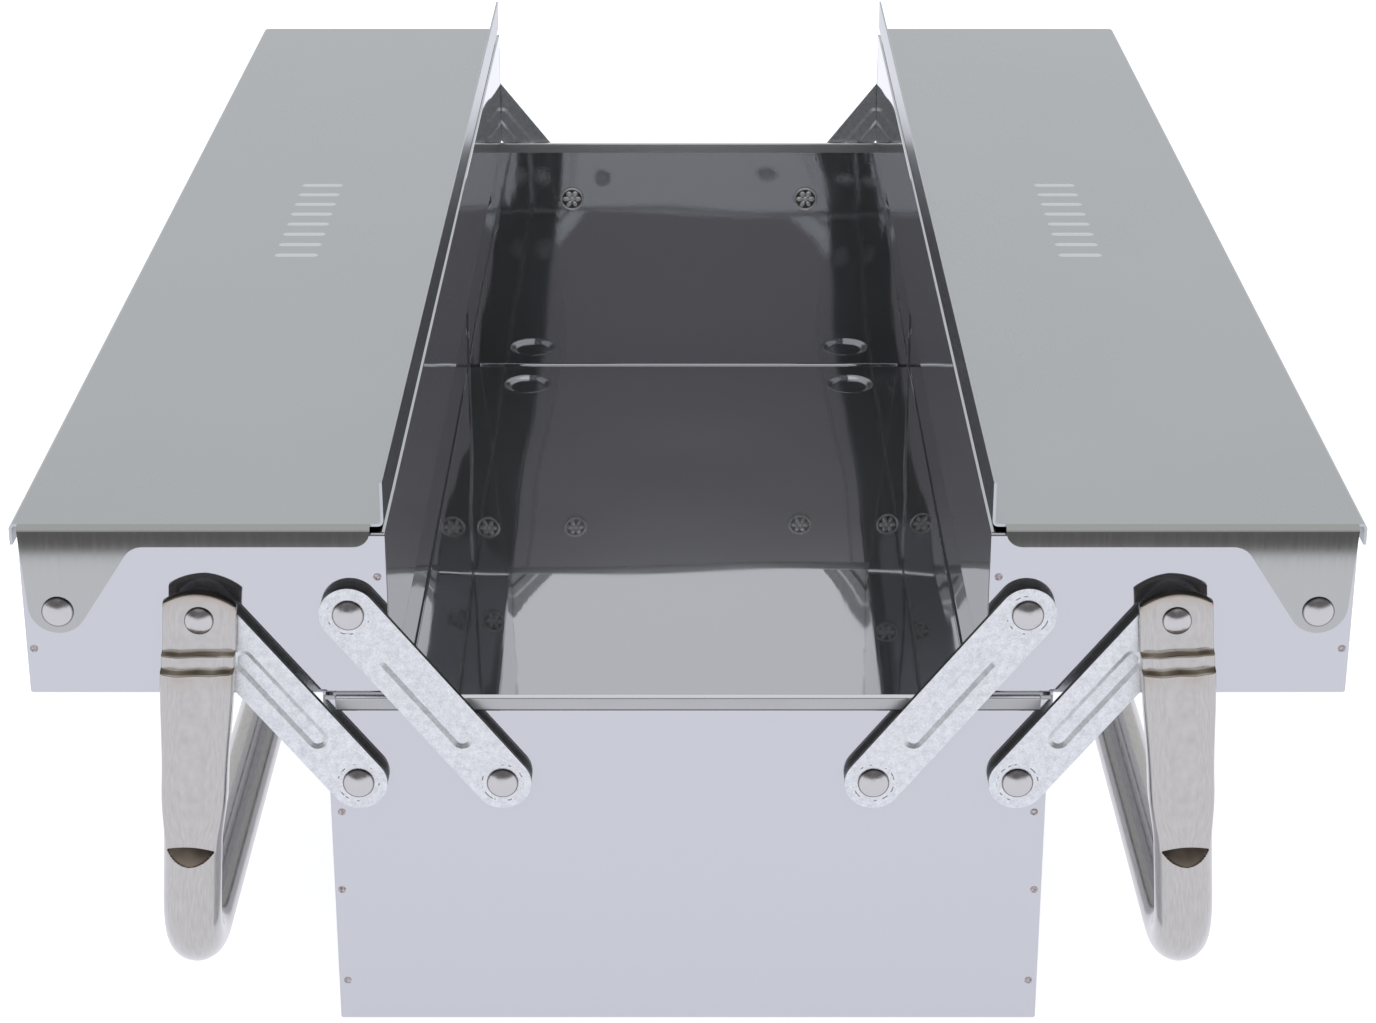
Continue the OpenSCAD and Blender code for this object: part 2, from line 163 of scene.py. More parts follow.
def buildWorld():
    world = bpy.data.worlds.new("studioWorld")
    bpy.context.scene.world = world
    world.use_nodes = True
    tree = world.node_tree
    tree.nodes.clear()
    where = axesOf(tree, tree.nodes.new("ShaderNodeTexCoord").outputs["Generated"])
    dark = None
    for axis, none, full in studio["darkEdges"]:
        edge = addNode(tree, "ShaderNodeMapRange", interpolation_type="SMOOTHSTEP",
                       Value=where[axis], From_Min=none, From_Max=full).outputs[0]
        dark = maths(tree, "MULTIPLY", dark, edge) if dark else edge
    room = mixColor(tree, dark, studio["roomColor"], studio["darkColor"])
    rays = tree.nodes.new("ShaderNodeLightPath")
    soft, mirrored, seen = (
        addNode(tree, "ShaderNodeBackground", Color=color, Strength=strength).outputs[0]
        for color, strength in (((*studio["roomColor"], 1), studio["diffuseLevel"]),
                                (room, 1.0), ((1, 1, 1, 1), 1.0)))
    unseen = fed(tree, "ShaderNodeMixShader", polishedRays(tree, rays), soft, mirrored)
    whole = fed(tree, "ShaderNodeMixShader", rays.outputs["Is Camera Ray"], unseen, seen)
    addNode(tree, "ShaderNodeOutputWorld", Surface=whole)


def buildFloor():
    half = studio["floorSize"] / 2
    mesh = bpy.data.meshes.new("paleFloor")
    corners = [(-half, -half, 0), (half, -half, 0), (half, half, 0), (-half, half, 0)]
    mesh.from_pydata(corners, [], [(0, 1, 2, 3)])
    floor = addObject("paleFloor", mesh)
    mat = bpy.data.materials.new("paleFloor")
    mat.use_nodes = True
    tree = mat.node_tree
    tree.nodes.clear()
    rays = tree.nodes.new("ShaderNodeLightPath")
    shiny = polishedRays(tree, rays)
    shaded = [c * studio["floorShade"] for c in studio["floorColor"]]
    lit = mixColor(tree, shiny, studio["floorColor"], shaded)
    total = addNode(tree, "ShaderNodeBsdfDiffuse", Color=lit).outputs[0]
    seen = maths(tree, "MULTIPLY", rays.outputs["Is Camera Ray"], studio["floorLift"])
    for color, strength in (((1, 1, 1), seen), (studio["floorMirrored"], shiny)):
        glow = addNode(tree, "ShaderNodeEmission", Color=(*color, 1), Strength=strength)
        total = fed(tree, "ShaderNodeAddShader", total, glow.outputs[0])
    addNode(tree, "ShaderNodeOutputMaterial", Surface=total)
    mesh.materials.append(mat)


def buildLamps():
    for name, place, size, watts, color in studio["lamps"]:
        lamp = addObject(name, bpy.data.lights.new(name, "AREA"))
        lamp.data.shape = "DISK"
        lamp.data.size = size
        lamp.data.energy = watts
        lamp.data.color = color
        lamp.visible_glossy = False      # polished sheet shows the room, not the lamps
        lamp.location = place
        aim = Vector(studio["lampAim"]) - Vector(place)
        lamp.rotation_euler = aim.to_track_quat("-Z", "Y").to_euler()


buildWorld()
buildFloor()
buildLamps()
print("studio built")


# Materials. Patterns read Object coordinates in metres, so they keep to the piece
def newMetal(name, color, metal=1.0):
    mat = bpy.data.materials.new(name)
    mat.use_nodes = True
    shader = mat.node_tree.nodes["Principled BSDF"]
    shader.inputs["Metallic"].default_value = metal
    shader.inputs["Base Color"].default_value = (*color, 1)
    return mat, mat.node_tree, shader


def pattern(tree, scale, stretch=(1, 1, 1), detail=3, source=None):
    # Noise on Object coordinates, scale in features a metre
    where = source or tree.nodes.new("ShaderNodeTexCoord").outputs["Object"]
    place = addNode(tree, "ShaderNodeMapping", Vector=where, Scale=stretch).outputs[0]
    return addNode(tree, "ShaderNodeTexNoise", Vector=place, Scale=scale,
                   Detail=detail).outputs["Fac"]


def spread(tree, value, low, high, fromLow=0.3, fromHigh=0.7):
    # Maps what lies between fromLow and fromHigh on low to high
    return addNode(tree, "ShaderNodeMapRange", Value=value, From_Min=fromLow,
                   From_Max=fromHigh, To_Min=low, To_Max=high).outputs[0]


def bumps(tree, shader, *layers):
    # Layers of (height, depth in metres, strength), chained one on another
    last = None
    for height, depth, strength in layers:
        bump = addNode(tree, "ShaderNodeBump", Strength=strength, Distance=depth, Height=height)
        if last:
            tree.links.new(last, bump.inputs["Normal"])
        last = bump.outputs["Normal"]
    tree.links.new(last, shader.inputs["Normal"])


# Colours, roughness ranges, patterns in features a metre, the spans of a pattern that a range
# is spread over, and bumps as (depth in metres, strength)
finishes = dict(
    mirror=dict(color=(0.575, 0.58, 0.60), metal=0.91, rough=(0.012, 0.045), smudge=26,
                wave=7.5, waveBump=(0.0023, 0.5),
                scratch=(900, 30, 900), scratchBump=(0.00002, 0.12)),
    satin=dict(color=(0.515, 0.53, 0.532), rough=(0.265, 0.295), shades=(0.98, 1.02),
               grain=(1100, 40, 1100), grainShare=0.15, grainBump=(0.00001, 0.04),
               cloud=11, wornSpan=(0.35, 0.8), buckle=6, buckleBump=(0.0005, 0.12)),
    ear=dict(color=(0.447, 0.452, 0.435), rough=(0.19, 0.25), grain=(1100, 1100, 60),
             # Soft shoulder under the end fold, and the heights in mm where it starts and ends
             shoulder=(142.0, 158.6), shoulderBump=(0.0036, 1.0),
             buckle=9, buckleBump=(0.0009, 0.35)),
    zinc=dict(color=(0.72, 0.735, 0.735), rough=(0.28, 0.44), roughSpan=(0.4, 1.6),
              # edge: the near-black colour of the arms' cut edges, painted shade
              shades=(0.80, 1.09), shadeSpan=(0.7, 1.25), edge=(0.075, 0.068, 0.064),
              spangle=520, pits=1700, pitBump=(0.00008, 0.35), dents=160, dentBump=(0.0003, 0.2),
              # The tool's marks round the pins: radius and half width in mm, colour's share,
              # their breaks, how much of the pattern breaks them, and their strength
              markR=5.7, markWide=0.2, mark=0.22, markBreaks=520, markCut=0.585, markStrength=0.8),
    tube=dict(color=(0.50, 0.485, 0.46), rough=(0.13, 0.21), shades=(0.92, 1.07),
              lines=(25, 70, 1), lineBump=(0.00003, 0.2), blotch=60, blotchShare=(0.7, 1.0),
              gold=(0.41, 0.345, 0.27), goldSpan=(0.0, 0.5),
              scorchedAndShaded=(0.04, 0.03, 0.026), scorchedAndShadedSpan=(0.25, 0.85)),
    rivet=dict(color=(0.56, 0.55, 0.54), rough=(0.14, 0.26), pits=700,
               # painted shade: the dark colour the rivet darkens to at its head's foot and on its
               # tail
               paintedShade=(0.045, 0.035, 0.03)),
    # Lighter and less metallic than the rivets' steel, a painted highlight
    clenched=dict(color=(0.88, 0.87, 0.86), metal=0.55, rough=(0.28, 0.4), pits=700,
                  paintedShade=(0.045, 0.035, 0.03)),
    rim=dict(color=(0.56, 0.565, 0.56), metal=0.55, rough=(0.40, 0.47), pits=60,
             # painted shade: the dark colour of the hem's outer face near its bottom
             paintedShade=(0.03, 0.03, 0.032),
             # the top's lighter colour is a painted highlight; its lower roughness and more metal
             # are the polish
             paintedHighlight=(0.8, 0.8, 0.82), polishedRough=0.2, polishedMetal=0.95),
    plainSteelBump=(0.0001, 0.3),
)


def shadesOf(look, color=None):
    # The darkest and the lightest colour of a finish
    return [[min(c * shade, 1) for c in color or look["color"]] for shade in look["shades"]]


def mirrorSteel():
    look = finishes["mirror"]
    mat, tree, shader = newMetal("mirrorSteel", look["color"], look["metal"])
    smudge = pattern(tree, look["smudge"], detail=5)
    setUp(tree, shader, Roughness=spread(tree, smudge, *look["rough"]))
    bumps(tree, shader, (pattern(tree, look["wave"], detail=1), *look["waveBump"]),
          (pattern(tree, 1, look["scratch"], detail=2), *look["scratchBump"]))
    return mat


def satinSteel(name="satinSteel", highlightGain=1.0):
    look = finishes["satin"]
    color = [c * highlightGain for c in look["color"]]
    mat, tree, shader = newMetal(name, color)
    grain = pattern(tree, 1, look["grain"])
    wearAndShade = maths(tree, "ADD", maths(tree, "MULTIPLY", grain, look["grainShare"]),
                 pattern(tree, look["cloud"]))
    span = look["wornSpan"]
    setUp(tree, shader, Roughness=spread(tree, wearAndShade, *look["rough"], *span),
          Base_Color=mixColor(tree, spread(tree, wearAndShade, 0, 1, *span), *shadesOf(look, color)))
    bumps(tree, shader, (grain, *look["grainBump"]),
          (pattern(tree, look["buckle"], detail=1), *look["buckleBump"]))
    return mat


def earSteel():
    # The lid's sheet on its upright ends, where the fold's soft shoulder tips the surface back
    look = finishes["ear"]
    mat, tree, shader = newMetal("earSteel", look["color"])
    setUp(tree, shader, Roughness=spread(tree, pattern(tree, 1, look["grain"]), *look["rough"]))
    height = axesOf(tree, tree.nodes.new("ShaderNodeTexCoord").outputs["Object"])["Z"]
    bend = spread(tree, height, 0, 1, *(z * mm for z in look["shoulder"]))
    fall = maths(tree, "SUBTRACT", 1.0, maths(tree, "POWER", bend, 2.0))
    bumps(tree, shader, (fall, *look["shoulderBump"]),
          (pattern(tree, look["buckle"], detail=1), *look["buckleBump"]))
    return mat


def toolMarks(tree, look):
    # Broken rings that the riveting tool left round each pin, mirrored across the box
    x, _, z = axesOf(tree, tree.nodes.new("ShaderNodeTexCoord").outputs["Object"])
    flat = vectorOf(tree, X=maths(tree, "ABSOLUTE", x), Y=z)
    nearest = None
    for pinX, pinZ, _ in box["basePins"] + box["trayPins"][:2]:
        away = addNode(tree, "ShaderNodeVectorMath", operation="DISTANCE", Vector=flat)
        away.inputs[1].default_value = (pinX * mm, pinZ * mm, 0)
        value = away.outputs["Value"]
        nearest = maths(tree, "MINIMUM", nearest, value) if nearest else value
    off = maths(tree, "ABSOLUTE", maths(tree, "SUBTRACT", nearest, look["markR"] * mm))
    ring = maths(tree, "LESS_THAN", off, look["markWide"] * mm)
    breaks = pattern(tree, look["markBreaks"], detail=1)
    broken = maths(tree, "MULTIPLY", ring, maths(tree, "GREATER_THAN", breaks, look["markCut"]))
    return maths(tree, "MULTIPLY", broken, look["markStrength"])


def flatFaces(tree):
    # 1 on an arm's flat faces, 0 on its cut edges, which are painted near black as painted shade
    normal = tree.nodes.new("ShaderNodeNewGeometry").outputs["Normal"]
    return spread(tree, maths(tree, "ABSOLUTE", axesOf(tree, normal)["Y"]), 0, 1)


def zincSteel():
    look = finishes["zinc"]
    mat, tree, shader = newMetal("zincSteel", look["color"])
    pits = pattern(tree, look["pits"])
    fleck = maths(tree, "ADD", pattern(tree, look["spangle"], detail=6), pits)
    tone = mixColor(tree, spread(tree, fleck, 0, 1, *look["shadeSpan"]), *shadesOf(look))
    marked = mixColor(tree, toolMarks(tree, look), tone, [c * look["mark"] for c in look["color"]])
    # The arms' cut edges take the near-black edge colour, painted shade
    setUp(tree, shader, Roughness=spread(tree, fleck, *look["rough"], *look["roughSpan"]),
          Base_Color=mixColor(tree, flatFaces(tree), look["edge"], marked))
    bumps(tree, shader, (pits, *look["pitBump"]),
          (pattern(tree, look["dents"], detail=2), *look["dentBump"]))
    return mat


def shadePaintedSteel(name, look):
    # Plain steel whose colour darkens with painted shade where the piece's own attribute for it
    # says
    mat, tree, shader = newMetal(name, look["color"], look.get("metal", 1.0))
    pits = pattern(tree, look["pits"], detail=4)
    paintedShade = addNode(tree, "ShaderNodeAttribute", attribute_name="paintedShade").outputs["Fac"]
    setUp(tree, shader, Roughness=spread(tree, pits, *look["rough"]),
          Base_Color=mixColor(tree, paintedShade, look["color"], look["paintedShade"]))
    bumps(tree, shader, (pits, *finishes["plainSteelBump"]))
    return mat


def rimSteel():
    # Where the piece's own polish attribute is 1, on top, it mirrors the room: smoother and more
    # metallic, and lighter in colour as a painted highlight
    look = finishes["rim"]
    mat = shadePaintedSteel("rimSteel", look)
    tree = mat.node_tree
    shader = next(n for n in tree.nodes if n.type == "BSDF_PRINCIPLED")
    polishAndHighlight = addNode(tree, "ShaderNodeAttribute", attribute_name="polishAndHighlight").outputs["Fac"]
    rough, tone = (shader.inputs[name].links[0].from_socket
                   for name in ("Roughness", "Base Color"))
    share = spread(tree, polishAndHighlight, 1, look["polishedRough"], 0, 1)
    setUp(tree, shader, Roughness=maths(tree, "MULTIPLY", rough, share),
          Base_Color=mixColor(tree, polishAndHighlight, tone, look["paintedHighlight"]),
          Metallic=spread(tree, polishAndHighlight, look["metal"], look["polishedMetal"], 0, 1))
    return mat


def tubeSteel():
    # Brushed lines run along the tube; its own attribute of scorch and painted shade browns and
    # blackens it
    look = finishes["tube"]
    mat, tree, shader = newMetal("tubeSteel", look["color"])
    along, turn, scorchAndShade = (
        addNode(tree, "ShaderNodeAttribute", attribute_name=name).outputs["Fac"]
        for name in ("alongTube", "roundTube", "scorchAndShade"))
    lines = pattern(tree, 1, look["lines"], detail=5, source=vectorOf(tree, X=along, Y=turn))
    blotch = spread(tree, pattern(tree, look["blotch"]), *look["blotchShare"])
    # Here the patchy darkening is scorch and painted shade, not wear
    wearAndShade = maths(tree, "MULTIPLY", scorchAndShade, blotch)
    base = mixColor(tree, spread(tree, lines, 0, 1), *shadesOf(look))
    warm = mixColor(tree, spread(tree, wearAndShade, 0, 1, *look["goldSpan"]), base, look["gold"])
    burntAndShaded = spread(tree, wearAndShade, 0, 1, *look["scorchedAndShadedSpan"])
    setUp(tree, shader, Roughness=spread(tree, lines, *look["rough"]),
          Base_Color=mixColor(tree, burntAndShaded, warm, look["scorchedAndShaded"]))
    bumps(tree, shader, (lines, *look["lineBump"]))
    return mat


metals = dict(
    ear_steel=earSteel(),
    mirror_steel=mirrorSteel(),
    satin_lid=satinSteel(),
    zinc_steel=zincSteel(),
    rivet_steel=shadePaintedSteel("rivetSteel", finishes["rivet"]),
    clenched_steel=shadePaintedSteel("clenchedSteel", finishes["clenched"]),
    rim_steel=rimSteel(),
    brushed_tube=tubeSteel(),
)
slotOf = {s["node"]: s["material_slot"] for s in frame["record"]["subparts"]}
for name, obj in nodes.items():
    obj.data.materials.clear()
    finish = "ear_steel" if name.endswith("_lid_ends") else slotOf[name]
    obj.data.materials.append(metals[finish])
print("materials on", len(nodes), "CAD nodes")


def skinRings(mesh, rings):
    # Quads between rings of vertices, and a cap on each end
    for a, b in zip(rings, rings[1:]):
        for i in range(len(a)):
            j = (i + 1) % len(a)
            mesh.faces.new((a[i], a[j], b[j], b[i]))
    mesh.faces.new(list(reversed(rings[0])))
    mesh.faces.new(rings[-1])


def finishPiece(name, mesh, metal):
    # Makes an object of the mesh, smooth but for its flat end caps
    bmesh.ops.recalc_face_normals(mesh, faces=mesh.faces)
    for f in mesh.faces:
        f.smooth = len(f.verts) == 4
    data = bpy.data.meshes.new(name)
    mesh.to_mesh(data)
    mesh.free()
    data.materials.append(metals[metal])
    return addObject(name, data)


# Handles: one tube a side, flattened and creased at both ends. Lengths in mm; a drop is the
# distance down the leg from the pin
handle = dict(
    lean=4.0, tube=16.0, bend=24.0, drop=106.0,
    flatY=3.5, flatW=20.0, flatT=3.0, topZ=8.0, topR=16.5,
    # Steps from the flat end to the thicker leg: drop, run, thickness after it
    steps=((9.2, 0.8, 5.4), (13.4, 0.9, 8.0)),
    slant=dict(right=0.015, left=0.075),
    waver=(0.16, 0.8),            # the steps' unevenness: height, and waves in radians a mm
    waverRamps=((3, 5), (16, 12)),                    # its start and end: drop, run
    legFrom=16.0, legRun=30.0, legW=18.0, lowT=12.5,
    flatEnd=(9.0, 8.0),           # where the flat end's section gives way: drop, run
    fullness=(7.0, 4.6, 2.0),     # of the flat end's, the leg's and the tube's section
    backStep=0.2,                 # how far the tube's back stands off the flat end's
    trough=0.45, troughW=4.5, troughRamps=(8, 6),     # hollow pressed along the flat leg
    dieLead=16.0, dieRun=15.5,    # where the pressed leg grows round again
    dieEnd=66.0,                  # drop at which the press that flattened the leg ends
    dieRise=0.92,                 # slope of its end
    dieArch=1.1,                  # how far its end arches up in the middle
    archRamps=((-8, 8), (1, 6)),  # the arch's start and end, from the press's end
    # Scorch and painted shade, as strength and reach: along the top edge, on the steps, under them
    edgeScorchAndShade=((0.8, 0.35), (0.36, 2.2)),
    stepScorchAndShade=(0.58, 0.22, 0.7, 0.5),    # strength, its change and waves across, reach
    smearAndShade=(15.4, 1.2, 0.25),      # drop, reach, strength
    smearAndShadeWaves=(0.6, 0.4, 0.5),   # its share in the middle, its change and waves across
    dieFade=(0.35, 0.1),          # how it fades down and across the press's end
    # Rings of the leg: below the top, at drops, and before the press's end; evenly spaced
    # ones as start, spacing, count, the last of them from the press's end
    topRings=(0.02, 0.2, 0.5, 1.0, 1.7, 2.5, 3.3, 3.5, 5.0),
    flatRings=(-1, 1, 4, 7, 8), stepRings=(8.4, 0.18, 40), legRings=(16, 4.1, 11),
    dieRings=(7.6, 6.3, 5.0, 3.8, 2.7, 1.7, 0.8, 0.02), archRings=(0.02, 0.25, 17),
    tubeRings=(72.5, 74, 76, 79),
    round=64, bendSteps=14, barSteps=24,
    lineScale=10,                 # what a metre along the tube counts for the brushed lines
)


def blendOf(a, b, t):
    t = max(0.0, min(1.0, t))
    t = t * t * (3 - 2 * t)
    return a + (b - a) * t


def legThickness(drop):
    h = handle
    if drop > h["dieEnd"]:
        return h["tube"]
    thick = h["flatT"]
    for start, run, after in h["steps"]:
        thick = blendOf(thick, after, (drop - start) / run)
    if drop > h["legFrom"]:
        thick += (h["lowT"] - thick) * (drop - h["legFrom"]) / (h["dieEnd"] - h["legFrom"])
    return thick


def legSection(drop):
    # Width and fullness of the leg at a drop below the pin
    h = handle
    width = h["flatW"]
    if drop < -1:
        fall = h["topR"] - h["topZ"] - drop
        width = min(width, 2 * math.sqrt(max(h["topR"] ** 2 - fall ** 2, 0.01)))
    flatFull, legFull, tubeFull = h["fullness"]
    start, run = h["flatEnd"]
    full = blendOf(flatFull, legFull, (drop - start) / run)
    if drop > h["legFrom"]:
        width = blendOf(h["flatW"], h["legW"], (drop - h["legFrom"]) / h["legRun"])
    lead = drop - h["dieEnd"] + h["dieLead"]
    if lead > 0:
        width = blendOf(h["legW"], h["tube"], lead / h["dieLead"])
        full = blendOf(legFull, tubeFull, lead / h["dieRun"])
    return width, full


def evenly(start, gap, count):
    return [start + i * gap for i in range(count)]


def legDrops():
    # Closest together at the rounded top, on the steps and at the press's end
    h = handle
    start, gap, count = h["archRings"]
    return ([d - h["topZ"] for d in h["topRings"]] + list(h["flatRings"])
            + evenly(*h["stepRings"]) + evenly(*h["legRings"])
            + [h["dieEnd"] - d for d in h["dieRings"]]
            + evenly(h["dieEnd"] + start, gap, count) + list(h["tubeRings"]))


def handleRings():
    # Rings from a leg's top down and along to the middle of the bar, each with its place
    # from the box's middle and from the pin, tilt, width, fullness and way along the tube
    h = handle
    backY = box["wallY"] + h["flatY"]
    rings = []
    for drop in legDrops():
        width, full = legSection(drop)
        rings.append((backY, -drop, 0.0, width, full, drop))
    legLen = h["drop"] - h["bend"]
    barY = backY + h["backStep"] + h["tube"] / 2 - h["bend"]
    tubeFull = h["fullness"][-1]
    rings.append((backY, -legLen, 0.0, h["tube"], tubeFull, legLen))
    for i in range(1, h["bendSteps"] + 1):
        a = math.pi / 2 * i / h["bendSteps"]
        rings.append((barY + h["bend"] * math.cos(a), -legLen - h["bend"] * math.sin(a), a,
                      h["tube"], tubeFull, legLen + h["bend"] * a))
    far = rings[-1][-1]
    for i in range(1, h["barSteps"] + 1):
        y = barY * (1 - i / h["barSteps"])
        rings.append((y, -h["drop"], math.pi / 2, h["tube"], tubeFull, far + barY - y))
    return rings


def between(at, ramps):
    # Rises from 0 to 1 along the first ramp and falls back along the second
    (rise, riseRun), (fall, fallRun) = ramps
    return blendOf(0, 1, (at - rise) / riseRun) * blendOf(1, 0, (at - fall) / fallRun)


def creaseShift(side, run, x):
    # The steps run a little askew and wavy across the leg, and the press's end is arched
    h = handle
    height, waves = h["waver"]
    shift = h["slant"][side] * x + height * math.sin(waves * x + len(side))
    arch = h["dieArch"] * math.cos(x * math.pi / h["tube"])
    return (between(run, h["waverRamps"]) * shift
            - between(run - h["dieEnd"], h["archRamps"]) * arch)


def scorchAndShadeOf(run, x):
    # How much scorch and painted shade darken the flat leg's outer side
    h = handle
    halfW = h["flatW"] / 2
    arc = h["topZ"] - h["topR"] + math.sqrt(h["topR"] ** 2 - min(x * x, halfW ** 2))
    edge = max(0.0, arc + run)
    scorchAndShadeAmount = sum(strength * math.exp(-edge / reach) for strength, reach in h["edgeScorchAndShade"])
    strength, change, waves, reach = h["stepScorchAndShade"]
    for start, length, _ in h["steps"]:
        scorchAndShadeAmount += (math.exp(-(((run - start - length / 2) / reach) ** 2))
                 * (strength + change * math.sin(x * waves + start)))
    at, reach, strength = h["smearAndShade"]
    share, change, waves = h["smearAndShadeWaves"]
    uneven = share + change * math.sin(x * waves)
    return scorchAndShadeAmount + strength * math.exp(-(((run - at) / reach) ** 2)) * uneven


def legPoint(run, x, s, full):
    # Distance out from the tab's back face, and how much scorch and painted shade darken the metal
    # there
    h = handle
    thick = legThickness(run)
    start, length = h["flatEnd"]
    back = blendOf(0, h["backStep"], (run - start) / length)
    r = thick / 2 * math.copysign(abs(s) ** (2 / full), s)
    scorchAndShadeAmount = scorchAndShadeOf(run, x)
    if s > 0 and run > h["legFrom"]:
        start, end = h["troughRamps"]
        ramp = min(1, (run - h["legFrom"]) / start) * max(0, min(1, (h["dieEnd"] - run) / end))
        r -= h["trough"] * ramp * math.exp(-((x / h["troughW"]) ** 2)) * s
    if s < 0 and run < h["steps"][0][0]:
        scorchAndShadeAmount = 1.0       # painted shade: the side that faces the wall is darkened fully
    if run > h["dieEnd"]:
        # The press's end cuts the round tube along a curve
        die = h["lowT"] - h["tube"] / 2 + (run - h["dieEnd"]) * h["dieRise"]
        if r > die:
            r = die
            down = (run - h["dieEnd"]) * h["dieRise"] / (h["tube"] - h["lowT"])
            below, across = h["dieFade"]
            # Painted shade darkens the press's end towards black, fading down and across it
            scorchAndShadeAmount = 1.0 - below * down ** 2 - across * (x / (h["tube"] / 2)) ** 2
    out = back + thick / 2 + r
    lead = run - h["dieEnd"] + h["dieLead"]
    if lead > 0 and run < h["dieEnd"]:
        pressed = back + h["tube"] / 2 + min(h["tube"] / 2 * s, h["lowT"] - h["tube"] / 2)
        out += (pressed - out) * blendOf(0, 1, lead / h["dieRun"])
    return out, min(1.0, scorchAndShadeAmount)


def makeHandle(side, way):
    h = handle
    pinX, pinZ, _ = box["trayPins"][1]
    halfRings = handleRings()
    # The rear half, then its mirror towards the front
    ordered = [(r, 1) for r in halfRings] + [(r, -1) for r in reversed(halfRings[:-1])]
    count = h["round"]
    lean = math.radians(h["lean"])
    mesh = bmesh.new()
    along = mesh.verts.layers.float.new("alongTube")
    turned = mesh.verts.layers.float.new("roundTube")
    scorchAndShade = mesh.verts.layers.float.new("scorchAndShade")
    loops = []
    for (y, z, tilt, width, full, run), end in ordered:
        loop = []
        for i in range(count):
            a = 2 * math.pi * i / count
            c, s = math.cos(a), math.sin(a)
            x = width / 2 * math.copysign(abs(c) ** (2 / full), c)
            if tilt == 0:
                out, scorchAndShadeAmount = legPoint(run, x, s, full)
                py, pz = y + out, z - creaseShift(side, run, x)
            else:
                r, scorchAndShadeAmount = h["tube"] / 2 * s, 0.0
                py, pz = y + r * math.cos(tilt), z - r * math.sin(tilt)
            vert = mesh.verts.new((
                way * (pinX + x * math.cos(lean) - pz * math.sin(lean)) * mm,
                end * py * mm,
                (pinZ + x * math.sin(lean) + pz * math.cos(lean)) * mm))
            vert[along] = run * mm * h["lineScale"]
            vert[turned] = i / count if i <= count / 2 else 1 - i / count
            vert[scorchAndShade] = scorchAndShadeAmount
            loop.append(vert)
        loops.append(loop)
    skinRings(mesh, loops)
    obj = finishPiece(f"{side}TubeHandle", mesh, "brushed_tube")
    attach(obj, f"{side}_handle")
    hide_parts(f"{side}_handle", f"{side}_handle_legs")


for side, way in sides:
    makeHandle(side, way)
print("handles made")


# Geometry Nodes: small pressed and clenched details, set on points with a facing
crispAngle = 0.6              # radians; edges sharper than this stay crisp


def newTree(name, sizes):
    tree = bpy.data.node_groups.new(name, "GeometryNodeTree")
    tree.interface.new_socket("Geometry", in_out="INPUT", socket_type="NodeSocketGeometry")
    for label, value in sizes.items():
        kind = "NodeSocketInt" if isinstance(value, int) else "NodeSocketFloat"
        tree.interface.new_socket(label, in_out="INPUT", socket_type=kind).default_value = value
    tree.interface.new_socket("Geometry", in_out="OUTPUT", socket_type="NodeSocketGeometry")
    return tree, tree.nodes.new("NodeGroupInput").outputs


def inMetres(settings, **names):
    # A tree's inputs in metres, from settings in mm; _ stands for a space
    return {label.replace("_", " "): settings[key] * mm for label, key in names.items()}


def onPoints(tree, given, shape, material):
    # Puts the shape, made along +Z, on each point, turned to its facing, and makes it real
    facing = addNode(tree, "GeometryNodeInputNamedAttribute", data_type="FLOAT_VECTOR",
                     Name="facing")
    turn = addNode(tree, "FunctionNodeAlignRotationToVector", axis="Z",
                   Vector=facing.outputs["Attribute"])
    put = addNode(tree, "GeometryNodeInstanceOnPoints", Points=given["Geometry"],
                  Instance=shape, Rotation=turn.outputs[0])
    bend = tree.nodes.new("GeometryNodeInputMeshEdgeAngle").outputs["Unsigned Angle"]
    crisp = addNode(tree, "FunctionNodeCompare", data_type="FLOAT", operation="GREATER_THAN",
                    A=bend, B=crispAngle)
    keep = addNode(tree, "GeometryNodeStoreNamedAttribute", data_type="BOOLEAN", domain="EDGE",
                   Geometry=fed(tree, "GeometryNodeRealizeInstances", put.outputs[0]),
                   Name="sharp_edge", Value=crisp.outputs[0])
    smooth = fed(tree, "GeometryNodeSetShadeSmooth", keep.outputs[0])
    paint = addNode(tree, "GeometryNodeSetMaterial", Geometry=smooth, Material=material)
    addNode(tree, "NodeGroupOutput", Geometry=paint.outputs[0])


def joined(tree, *parts):
    join = tree.nodes.new("GeometryNodeJoinGeometry")
    for part in parts:
        tree.links.new(part, join.inputs[0])
    return join.outputs[0]


def growOnPoints(name, points, tree, sizes, body):
    # points: (place in mm, facing)
    mesh = bpy.data.meshes.new(name)
    mesh.from_pydata([[c * mm for c in p] for p, _ in points], [], [])
    facing = mesh.attributes.new("facing", "FLOAT_VECTOR", "POINT")
    facing.data.foreach_set("vector", [c for _, f in points for c in f])
    obj = addObject(name, mesh)
    mod = obj.modifiers.new("grown", "NODES")
    mod.node_group = tree
    for item in tree.interface.items_tree:
        if item.item_type == "SOCKET" and item.in_out == "INPUT" and item.name in sizes:
            mod[item.identifier] = sizes[item.name]
    graph = bpy.context.evaluated_depsgraph_get()
    made = bpy.data.meshes.new_from_object(obj.evaluated_get(graph), depsgraph=graph)
    obj.modifiers.clear()
    obj.data = made
    made.name = name
    bpy.data.meshes.remove(mesh)
    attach(obj, body)
    return obj


def placed(tree, shape, up=None, scale=(1, 1, 1)):
    # Scales a shape inside a tree, and moves it up by a socket's value
    node = addNode(tree, "GeometryNodeTransform", Geometry=shape, Scale=scale)
    if up:
        setUp(tree, node, Translation=vectorOf(tree, Z=up))
    return node.outputs[0]


